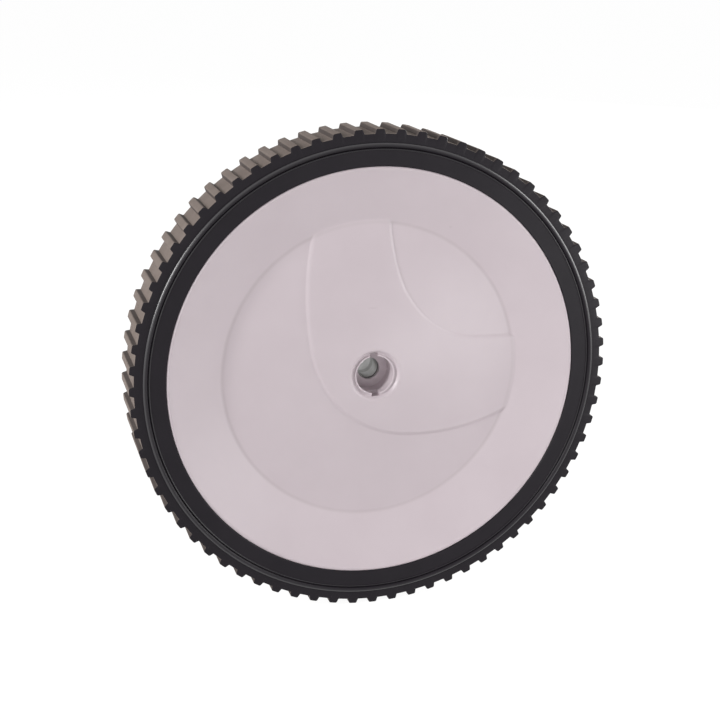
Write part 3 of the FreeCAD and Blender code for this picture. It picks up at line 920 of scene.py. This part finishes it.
@dataclass
class HubBearings:
    """Two sealed ball bearings and the spacer between their inner rings."""

    # The ring and spacer steel are darker than bare steel, in part a painted shade for the inside of the
    # bore.
    ring: SteelFinish = SteelFinish(
        name="ring_steel", shade=(0.27, 0.265, 0.26), roughness=0.36, rings=60000.0, ring_depth=0.000004)
    spacer: SteelFinish = SteelFinish(
        name="spacer_steel", shade=(0.22, 0.215, 0.21), roughness=0.45, rings=30000.0, ring_depth=0.000008)
    ball: SteelFinish = SteelFinish(
        name="ball_steel", shade=(0.75, 0.75, 0.76), roughness=0.10, rings=90000.0, ring_depth=0.000001)
    cage: MouldedFinish = MouldedFinish(
        name="cage_plastic", shade=(0.55, 0.48, 0.36), other_shade=(0.60, 0.53, 0.41), roughness=0.45,
        roughness_drift=0.08, grain_scale=3000.0, grain_depth=0.00001, drift_scale=200.0)
    seal: MouldedFinish = MouldedFinish(
        name="seal_rubber", shade=(0.016, 0.016, 0.017), other_shade=(0.024, 0.023, 0.024), roughness=0.6,
        roughness_drift=0.1, grain_scale=3500.0, grain_depth=0.00001, drift_scale=220.0, specular=0.35)

    def build(self, pieces: CadPieces) -> None:
        """Dress every piece of both bearings and the spacer.

        Args:
            pieces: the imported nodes.
        """
        ring, seal = self.ring.build(), self.seal.build()
        ball, cage = self.ball.build(), self.cage.build()
        dress = {"inner_ring": ring, "outer_ring": ring, "front_seal": seal, "rear_seal": seal,
                 "balls": ball, "cage": cage}
        for place in Place:
            for piece, material in dress.items():
                pieces.dress(f"{place.value}_bearing_{piece}", material)
        pieces.dress("bearing_spacer", self.spacer.build())


@dataclass
class SoftLamp:
    """A soft box that faces the wheel."""

    name: str
    place: Position
    width: float
    height: float
    power: float

    def build(self) -> None:
        """Hang the lamp and turn it to the wheel."""
        light = bpy.data.lights.new(self.name, "AREA")
        light.shape = "RECTANGLE"
        light.size = self.width
        light.size_y = self.height
        light.energy = self.power
        lamp = bpy.data.objects.new(self.name, light)
        lamp.location = self.place
        lamp.rotation_euler = (-Vector(self.place)).to_track_quat("-Z", "Y").to_euler()
        bpy.context.scene.collection.objects.link(lamp)


@dataclass
class Studio:
    """Pale floor, even white surroundings and soft lamps."""

    floor_level: float
    floor_side: float = 40.0
    floor_shade: Colour = (0.80, 0.80, 0.80)
    glow_share: float = 0.80
    glow: float = 1.18
    ambient: float = 0.265
    lamps: tuple[SoftLamp, ...] = (
        SoftLamp("lamp_left", (-2.20, -0.78, 0.84), width=0.36, height=0.9, power=40.0),
        SoftLamp("lamp_front", (-0.62, -1.25, 0.14), width=0.5, height=0.5, power=2.2),
        SoftLamp("lamp_right", (1.15, -0.28, 0.33), width=0.8, height=0.8, power=10.6),
        SoftLamp("lamp_low", (0.40, -0.45, -0.05), width=0.3, height=0.10, power=0.5),
        SoftLamp("lamp_back", (1.60, 1.35, 0.06), width=1.2, height=0.3, power=32.0),
    )

    def build(self) -> None:
        """Set up the floor, the surroundings and the lamps."""
        scene = bpy.context.scene
        scene.view_settings.view_transform = "Standard"
        self.build_surroundings(scene)
        self.build_floor(scene)
        for lamp in self.lamps:
            lamp.build()

    def seen(self, board: NodeBoard) -> bpy.types.NodeSocket:
        """Mask the rays that show the background: straight to the camera, mirrored or through glass.

        Args:
            board: the node tree that needs the mask.

        Returns:
            The socket with 1 for such rays and 0 for the others.
        """
        path = board.add("ShaderNodeLightPath").outputs
        mirrored = board.maths("MAXIMUM", path["Is Glossy Ray"], path["Is Transmission Ray"])
        return board.maths("MAXIMUM", path["Is Camera Ray"], mirrored)

    def build_surroundings(self, scene: bpy.types.Scene) -> None:
        """Make the world white where it is seen and an even soft light elsewhere.

        Args:
            scene: the scene to light.
        """
        scene.world = bpy.data.worlds.new("studio_air")
        scene.world.use_nodes = True
        board = NodeBoard(scene.world.node_tree)
        light = board.add("ShaderNodeBackground", {"Color": with_alpha(WHITE), "Strength": self.ambient})
        white = board.add("ShaderNodeBackground", {"Color": with_alpha(WHITE), "Strength": 1.0})
        both = board.add("ShaderNodeMixShader", {
            0: self.seen(board), 1: light.outputs[0], 2: white.outputs[0]})
        board.add("ShaderNodeOutputWorld", {"Surface": both.outputs[0]})

    def build_floor(self, scene: bpy.types.Scene) -> None:
        """Lay a floor that is seen as white and keeps a soft shadow.

        Args:
            scene: the scene to lay it in.
        """
        half = self.floor_side / 2
        mesh = bpy.data.meshes.new("floor")
        corners = [(-half, -half), (half, -half), (half, half), (-half, half)]
        mesh.from_pydata([(x, y, self.floor_level) for x, y in corners], [], [(0, 1, 2, 3)])
        floor = bpy.data.objects.new("floor", mesh)
        scene.collection.objects.link(floor)
        paint = bpy.data.materials.new("pale_floor")
        paint.use_nodes = True
        board = NodeBoard(paint.node_tree)
        matt = board.add("ShaderNodeBsdfDiffuse", {"Color": with_alpha(self.floor_shade)})
        glow = board.add("ShaderNodeEmission", {"Color": with_alpha(WHITE), "Strength": self.glow})
        share = board.maths("MULTIPLY", self.seen(board), self.glow_share)
        both = board.add("ShaderNodeMixShader", {0: share, 1: matt.outputs[0], 2: glow.outputs[0]})
        board.add("ShaderNodeOutputMaterial", {"Surface": both.outputs[0]})
        mesh.materials.append(paint)
        floor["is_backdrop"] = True


@dataclass
class PhotoCamera:
    """Camera at the photograph's viewing angle.

    The aimed point is seen aim_right pixels right of the picture's middle and aim_down pixels below it.
    """

    aim: Position
    azimuth: float = math.radians(-15.5)
    elevation: float = math.radians(16.26)
    distance: float = 673.55 * MM
    focal_pixels: float = 1444.0
    aim_right: float = 16.45
    aim_down: float = 16.35
    sensor: float = 36.0
    nearest: float = 0.01
    farthest: float = 100.0

    def build(self) -> None:
        """Make the camera and set it as the scene's own."""
        data = bpy.data.cameras.new("photo_camera")
        data.sensor_width = self.sensor
        data.lens = self.sensor * self.focal_pixels / PHOTO_WIDTH
        data.clip_start = self.nearest
        data.clip_end = self.farthest
        level = math.cos(self.elevation)
        back = Vector((
            math.sin(self.azimuth) * level, -math.cos(self.azimuth) * level, math.sin(self.elevation)))
        right = Vector((math.cos(self.azimuth), math.sin(self.azimuth), 0.0))
        up = back.cross(right)
        pixel = self.distance / self.focal_pixels
        camera = bpy.data.objects.new("photo_camera", data)
        aside = right * self.aim_right - up * self.aim_down
        camera.location = Vector(self.aim) + back * self.distance - aside * pixel
        camera.rotation_euler = (-back).to_track_quat("-Z", "Y").to_euler()
        bpy.context.scene.collection.objects.link(camera)
        bpy.context.scene.camera = camera


def main() -> None:
    """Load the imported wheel, dress it and set up the picture."""
    logging.basicConfig(level=logging.INFO, format="%(name)s: %(message)s")
    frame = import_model()
    cad_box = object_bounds()
    for build_effect in (build_mould_grain, build_turning_marks, build_painted_crease_shade, build_scuff):
        build_effect()
    pieces = CadPieces(frame["nodes"])
    tyre = Tyre()
    tyre.build()
    WheelDisc().build(pieces)
    HubBearings().build(pieces)
    Studio(floor_level=cad_box[0].z).build()
    PhotoCamera(aim=(0.0, tyre.front, 0.0)).build()


if __name__ == "__main__":
    main()
